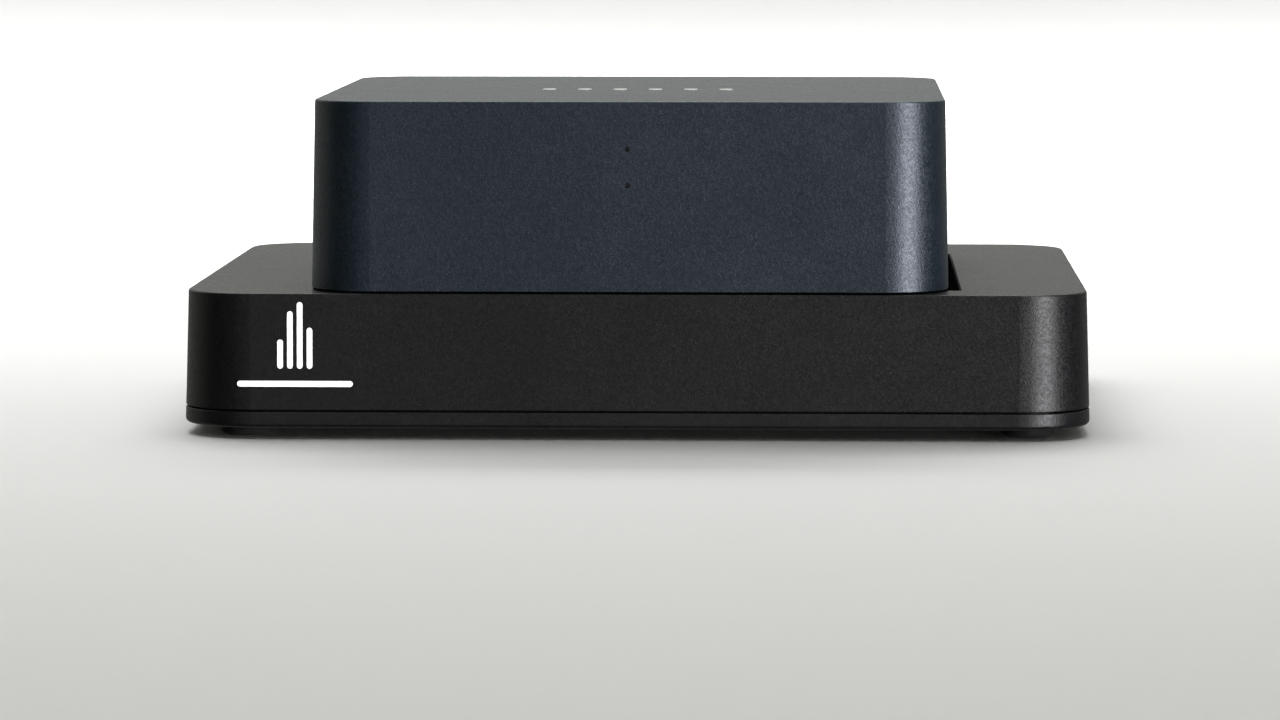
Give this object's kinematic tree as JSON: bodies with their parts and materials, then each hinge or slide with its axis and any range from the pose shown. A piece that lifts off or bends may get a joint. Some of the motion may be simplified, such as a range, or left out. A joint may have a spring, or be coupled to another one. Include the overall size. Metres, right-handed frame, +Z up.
{
  "type": "bluetooth audio receiver",
  "caption": "Flat control dock with an open air bay, and a square wireless audio receiver module that stands on it, flush at the front, and lifts off; sockets at the rear.",
  "frame": {"origin": "on the ground plane under the centre of the dock", "axes": "+X to the right seen from the front, +Y towards the rear sockets, +Z up"},
  "size_m": [0.2, 0.16, 0.0741],
  "materials": {
    "dock_plastic": "satin black moulding with a very fine spark texture",
    "module_plastic": "satin blue-slate moulding with a very fine spark texture",
    "tray_plastic": "plain black moulding",
    "rubber": "matte black rubber",
    "panel_plastic": "matte black panel",
    "socket_plastic": "black socket plastic",
    "button_plastic": "satin black button",
    "circuit_board": "green solder mask",
    "radio_circuit": "blue solder mask",
    "chip_epoxy": "matte black epoxy",
    "plated_steel": "plain plated steel",
    "nickel": "bright nickel plate",
    "contact_gold": "gold flash",
    "capacitor_can": "bare aluminium can",
    "heat_sink_aluminium": "bare extruded aluminium",
    "inductor_ferrite": "matte ferrite",
    "ring_white": "white moulding",
    "ring_red": "red moulding",
    "ring_orange": "orange moulding",
    "clear_guide": "clear acrylic",
    "infrared_plastic": "dark tinted epoxy",
    "lead_jacket": "thin black jacket",
    "ribbon": "flat ribbon",
    "mark_ink": "white print",
    "top_mark_ink": "pale grey gloss print"
  },
  "bodies": {
    "dock": {"dock_top_shell": "dock_plastic", "dock_bottom_cover": "dock_plastic", "bay_tray": "tray_plastic", "tray_screws": "plated_steel", "dock_feet": "rubber", "dock_screws": "plated_steel", "dock_rear_panel": "panel_plastic", "front_mark": "mark_ink", "control_board": "circuit_board", "control_board_screws": "plated_steel", "control_processor": "chip_epoxy", "power_inductors": "inductor_ferrite", "supply_capacitors": "capacitor_can", "infrared_emitters": "infrared_plastic", "infrared_receiver": "infrared_plastic", "power_inlet_shell": "nickel", "power_inlet_core": "socket_plastic", "power_outlet_shell": "nickel", "power_outlet_core": "socket_plastic", "remote_jacks": "socket_plastic", "setup_switch": "socket_plastic"},
    "receiver": {"module_housing": "module_plastic", "module_base": "panel_plastic", "module_pads": "rubber", "module_screws": "plated_steel", "module_rear_panel": "panel_plastic", "top_mark": "top_mark_ink", "main_board": "circuit_board", "main_board_screws": "plated_steel", "radio_board": "radio_circuit", "radio_shield": "plated_steel", "radio_antennas": "radio_circuit", "antenna_leads": "lead_jacket", "main_processor": "chip_epoxy", "heat_sink": "heat_sink_aluminium", "memory_chips": "chip_epoxy", "audio_chips": "chip_epoxy", "filter_capacitors": "capacitor_can", "light_board": "circuit_board", "light_guides": "clear_guide", "light_ribbon": "ribbon", "phono_blocks": "socket_plastic", "phono_sleeves": "nickel", "phono_rings_white": "ring_white", "phono_rings_red": "ring_red", "phono_ring_orange": "ring_orange", "phono_contacts": "contact_gold", "optical_jacks": "socket_plastic", "flap_pins": "plated_steel", "lan_shield": "nickel", "lan_core": "socket_plastic", "usb_inlet_shell": "nickel", "usb_inlet_core": "socket_plastic", "trigger_jack": "socket_plastic", "pair_switch": "socket_plastic"},
    "setup_button": {"setup_button": "button_plastic", "setup_plunger": "button_plastic"},
    "pair_button": {"pair_button": "button_plastic"},
    "optical_out_flap": {"optical_out_flap": "button_plastic"},
    "optical_in_flap": {"optical_in_flap": "button_plastic"}
  },
  "joints": [
    {"name": "receiver_lift", "type": "slide", "parent": "dock", "child": "receiver", "axis": [0, 0, 1], "range_m": [0, 0.08]},
    {"name": "setup_press", "type": "slide", "parent": "dock", "child": "setup_button", "axis": [0, -1, 0], "range_m": [0, 0.0006], "stiffness_N_per_m": 300},
    {"name": "pair_press", "type": "slide", "parent": "receiver", "child": "pair_button", "axis": [0, -1, 0], "range_m": [0, 0.0006], "stiffness_N_per_m": 300},
    {"name": "optical_out_hinge", "type": "hinge", "parent": "receiver", "child": "optical_out_flap", "pos_m": [0.0033, 0.0595, 0.0481], "axis": [-1, 0, 0], "range_deg": [0, 85], "stiffness_Nm_per_rad": 0.0005},
    {"name": "optical_in_hinge", "type": "hinge", "parent": "receiver", "child": "optical_in_flap", "pos_m": [-0.0085, 0.0595, 0.0481], "axis": [-1, 0, 0], "range_deg": [0, 85], "stiffness_Nm_per_rad": 0.0005}
  ]
}
